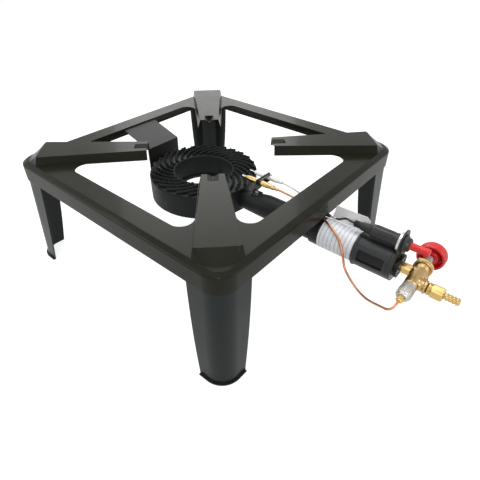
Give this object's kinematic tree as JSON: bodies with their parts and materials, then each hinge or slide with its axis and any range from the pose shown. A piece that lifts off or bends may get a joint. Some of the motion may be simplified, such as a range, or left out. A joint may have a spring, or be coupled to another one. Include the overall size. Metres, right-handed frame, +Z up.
{
  "type": "propane burner stand",
  "caption": "Low square pressed-steel stand with splayed legs and raised pan fingers, carrying a cast ring burner with mixing tube, air shutter, igniter and flame-failure gas tap.",
  "frame": {"origin": "centre of the square stand, on the ground under it", "axes": "+Z up; +X towards the tap and the hose tail, along the mixing tube; +Y completes the right hand"},
  "size_m": [0.5869, 0.4164, 0.181],
  "materials": {
    "frame_black": "glossy black enamel",
    "iron": "matte black heat-resistant paint on cast iron",
    "strap_black": "satin black paint",
    "zinc": "bright zinc plate",
    "tube_white": "satin plain white label film on steel",
    "steel": "plain steel",
    "white": "plain white film",
    "dark_metal": "dark satin paint",
    "brass": "turned brass",
    "copper": "bright drawn copper",
    "aluminium": "turned aluminium",
    "spring": "spring steel",
    "red": "moulded red plastic",
    "black_plastic": "moulded black plastic",
    "rubber": "moulded rubber",
    "ceramic": "glazed white ceramic",
    "wire_white": "white silicone sleeve",
    "wire_black": "black silicone sleeve"
  },
  "bodies": {
    "stand": {"top_frame": "frame_black", "leg_front_left": "frame_black", "leg_front_right": "frame_black", "leg_rear_left": "frame_black", "leg_rear_right": "frame_black", "rear_strap": "strap_black", "front_hanger": "strap_black", "lug_screw": "zinc", "hanger_screw": "zinc", "burner_casting": "iron", "burner_cap": "iron", "mixing_tube": "steel", "label_wrap": "tube_white", "label_tab": "white", "end_plate": "dark_metal", "injector_holder": "brass", "injector_jet": "brass", "injector_locknut": "brass", "outlet_union": "brass", "tap_body": "brass", "tap_bonnet": "brass", "bonnet_screws": "zinc", "tap_spring": "spring", "inlet_nut": "brass", "inlet_washer": "rubber", "hose_barb": "brass", "magnet_housing": "aluminium", "magnet_unit": "copper", "capillary_nut": "brass", "thermocouple_tip": "steel", "thermocouple_sleeve": "brass", "thermocouple_ferrule": "copper", "capillary": "copper", "electrode_pin": "steel", "electrode_ceramic": "ceramic", "electrode_wire": "wire_white", "lead_boot": "rubber", "lead_ferrule": "zinc", "ignition_lead": "wire_black", "pilot_bracket": "strap_black", "pilot_screw": "zinc", "pilot_clip": "strap_black", "piezo_boot": "rubber", "piezo_body": "black_plastic", "piezo_element": "ceramic", "piezo_spring": "spring", "piezo_washer": "zinc", "piezo_collar": "black_plastic"},
    "tap_plug": {"tap_plug": "brass"},
    "knob": {"knob": "red", "tap_stem": "steel"},
    "safety_valve": {"safety_valve": "rubber"},
    "igniter_button": {"piezo_button": "red"},
    "air_shutter": {"air_shutter": "dark_metal", "shutter_screw": "zinc"},
    "air_disc": {"air_disc": "black_plastic"}
  },
  "joints": [
    {"name": "tap_turn", "type": "hinge", "parent": "stand", "child": "tap_plug", "pos_m": [0.327, 0, 0.116], "axis": [0, 1, 0], "range_deg": [0, 180]},
    {"name": "knob_push", "type": "slide", "parent": "tap_plug", "child": "knob", "axis": [0, -1, 0], "range_m": [0, 0.003], "stiffness_N_per_m": 1500, "springref_m": -0.001, "deforming": ["tap_spring"]},
    {"name": "safety_valve_lift", "type": "slide", "parent": "stand", "child": "safety_valve", "axis": [0, -1, 0], "range_m": [0, 0.003]},
    {"name": "igniter_press", "type": "slide", "parent": "stand", "child": "igniter_button", "axis": [-1, 0, 0], "range_m": [0, 0.005], "stiffness_N_per_m": 800, "springref_m": -0.001, "deforming": ["piezo_spring"]},
    {"name": "shutter_turn", "type": "hinge", "parent": "stand", "child": "air_shutter", "pos_m": [0.275, 0, 0.116], "axis": [1, 0, 0], "range_deg": [0, 50]},
    {"name": "air_disc_turn", "type": "hinge", "parent": "stand", "child": "air_disc", "pos_m": [0.304, 0, 0.116], "axis": [1, 0, 0], "range_deg": [-180, 180]}
  ],
  "couplings": [
    {"joint": "safety_valve_lift", "follows": "knob_push", "ratio": 1}
  ]
}
